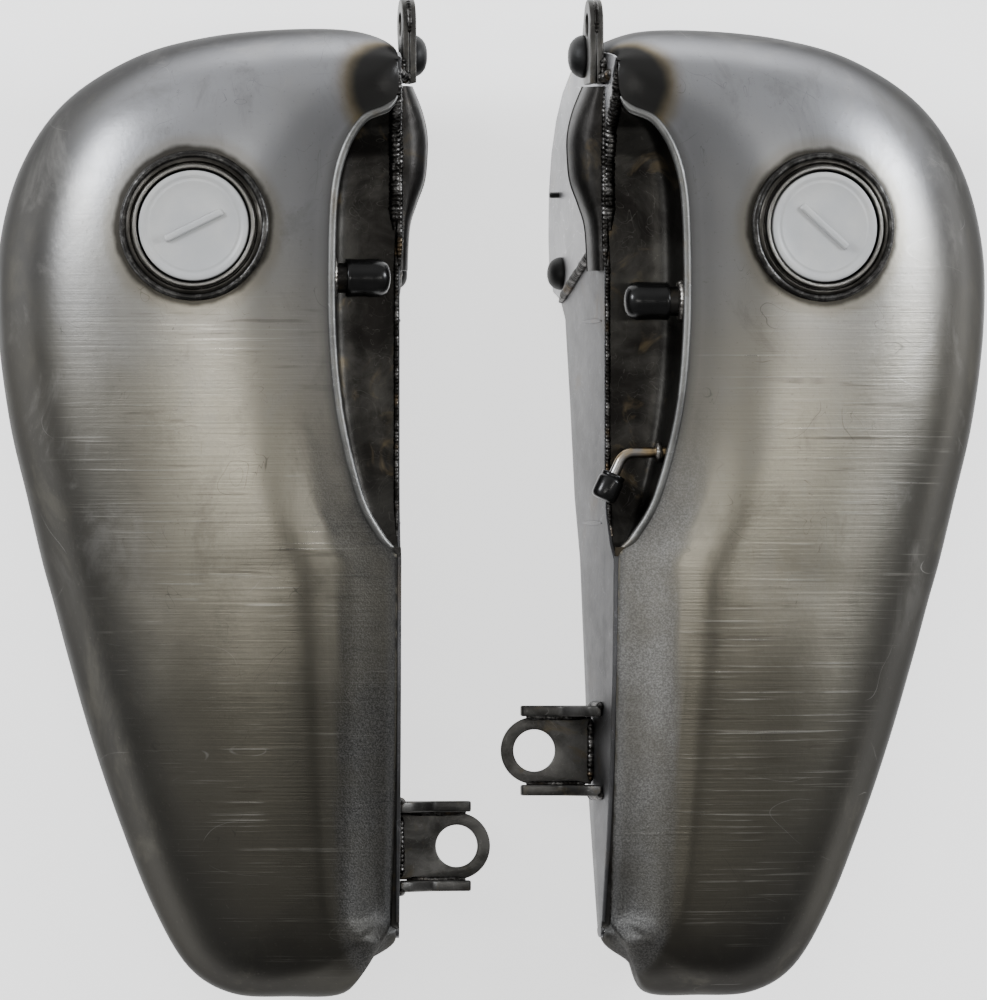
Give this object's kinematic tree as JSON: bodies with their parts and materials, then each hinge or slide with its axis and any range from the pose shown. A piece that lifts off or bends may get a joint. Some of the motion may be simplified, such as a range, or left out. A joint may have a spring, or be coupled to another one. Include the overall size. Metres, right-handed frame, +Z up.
{
  "type": "motorcycle fuel tank",
  "caption": "Split teardrop fuel tank in bare steel: mirror-image halves with screw filler caps, a dash recess, front eyes and rear mounting brackets.",
  "frame": {"origin": "on the ground under the middle of the pair's box, midway between the halves, the front eyes' tips and the rear ends", "axes": "+X towards the right half, +Y towards the front of the motorcycle, +Z up"},
  "size_m": [0.6006, 0.6017, 0.2068],
  "materials": {
    "raw_steel": "bare drawn steel with fine scratches and heat tint",
    "panel_steel": "mill-finish grey sheet, slightly oily",
    "dark_steel": "dark, oily, heat-blackened steel",
    "neck_steel": "turned steel darkened by welding",
    "cap_plastic": "translucent white moulded plastic, satin",
    "soft_vinyl": "glossy black vinyl",
    "bumper_rubber": "matt black rubber",
    "bronze_tube": "thin steel tube with bronze heat tint",
    "plug_plastic": "red moulded shipping plug",
    "stud_steel": "black oxide steel"
  },
  "bodies": {
    "left_half": {"left_outer_shell": "raw_steel", "left_inner_panel_front": "panel_steel", "left_inner_panel_rear": "panel_steel", "left_bottom_panel": "panel_steel", "left_dash_pan": "dark_steel", "left_filler_neck": "neck_steel", "left_front_bracket": "dark_steel", "left_front_doubler": "dark_steel", "left_front_gusset": "dark_steel", "left_rear_bracket": "dark_steel", "left_rear_flanges": "dark_steel", "left_vent_fitting": "dark_steel", "left_eye_bumper": "bumper_rubber", "left_wall_bumper": "bumper_rubber", "left_wall_stud": "stud_steel", "left_outlet_fitting": "dark_steel"},
    "left_gasket": {"left_cap_gasket": "bumper_rubber"},
    "left_cap": {"left_filler_cap": "cap_plastic"},
    "left_vent_cap": {"left_vent_cap": "soft_vinyl"},
    "left_outlet_plug": {"left_outlet_plug": "plug_plastic"},
    "right_half": {"right_outer_shell": "raw_steel", "right_inner_panel_front": "panel_steel", "right_inner_panel_rear": "panel_steel", "right_bottom_panel": "panel_steel", "right_dash_pan": "dark_steel", "right_filler_neck": "neck_steel", "right_front_bracket": "dark_steel", "right_front_doubler": "dark_steel", "right_front_gusset": "dark_steel", "right_rear_bracket": "dark_steel", "right_rear_flanges": "dark_steel", "right_vent_fitting": "dark_steel", "right_eye_bumper": "bumper_rubber", "right_wall_bumper": "bumper_rubber", "right_wall_stud": "stud_steel", "right_outlet_fitting": "dark_steel", "right_breather_tube": "bronze_tube"},
    "right_gasket": {"right_cap_gasket": "bumper_rubber"},
    "right_cap": {"right_filler_cap": "cap_plastic"},
    "right_vent_cap": {"right_vent_cap": "soft_vinyl"},
    "right_outlet_cap": {"right_outlet_cap": "soft_vinyl"},
    "right_breather_cap": {"right_breather_cap": "soft_vinyl"}
  },
  "joints": [
    {"name": "halves_close", "type": "slide", "parent": "left_half", "child": "right_half", "axis": [-1, 0, 0], "range_m": [0, 0.0472]},
    {"name": "left_cap_lift", "type": "slide", "parent": "left_half", "child": "left_gasket", "axis": [-0.165, 0.0262, 0.9859], "range_m": [0, 0.012]},
    {"name": "left_cap_turn", "type": "hinge", "parent": "left_gasket", "child": "left_cap", "pos_m": [-0.1908, 0.16345, 0.2008], "axis": [-0.165, 0.0262, 0.9859], "range_deg": [0, 1080.2]},
    {"name": "left_vent_cap_pull", "type": "slide", "parent": "left_half", "child": "left_vent_cap", "axis": [1, 0, 0], "range_m": [0, 0.024]},
    {"name": "right_cap_lift", "type": "slide", "parent": "right_half", "child": "right_gasket", "axis": [0.165, 0.0262, 0.9859], "range_m": [0, 0.012]},
    {"name": "right_cap_turn", "type": "hinge", "parent": "right_gasket", "child": "right_cap", "pos_m": [0.1908, 0.16345, 0.2008], "axis": [0.165, 0.0262, 0.9859], "range_deg": [0, 1080.2]},
    {"name": "right_vent_cap_pull", "type": "slide", "parent": "right_half", "child": "right_vent_cap", "axis": [-1, 0, 0], "range_m": [0, 0.024]},
    {"name": "left_outlet_plug_pull", "type": "slide", "parent": "left_half", "child": "left_outlet_plug", "axis": [0, 0, -1], "range_m": [0, 0.014]},
    {"name": "right_outlet_cap_pull", "type": "slide", "parent": "right_half", "child": "right_outlet_cap", "axis": [0, 0, -1], "range_m": [0, 0.014]},
    {"name": "right_breather_cap_pull", "type": "slide", "parent": "right_half", "child": "right_breather_cap", "axis": [-0.4226, -0.9063, 0], "range_m": [0, 0.015]}
  ],
  "couplings": [
    {"joint": "left_cap_turn", "follows": "left_cap_lift", "rad_per_m": 1570.8},
    {"joint": "right_cap_turn", "follows": "right_cap_lift", "rad_per_m": 1570.8}
  ]
}
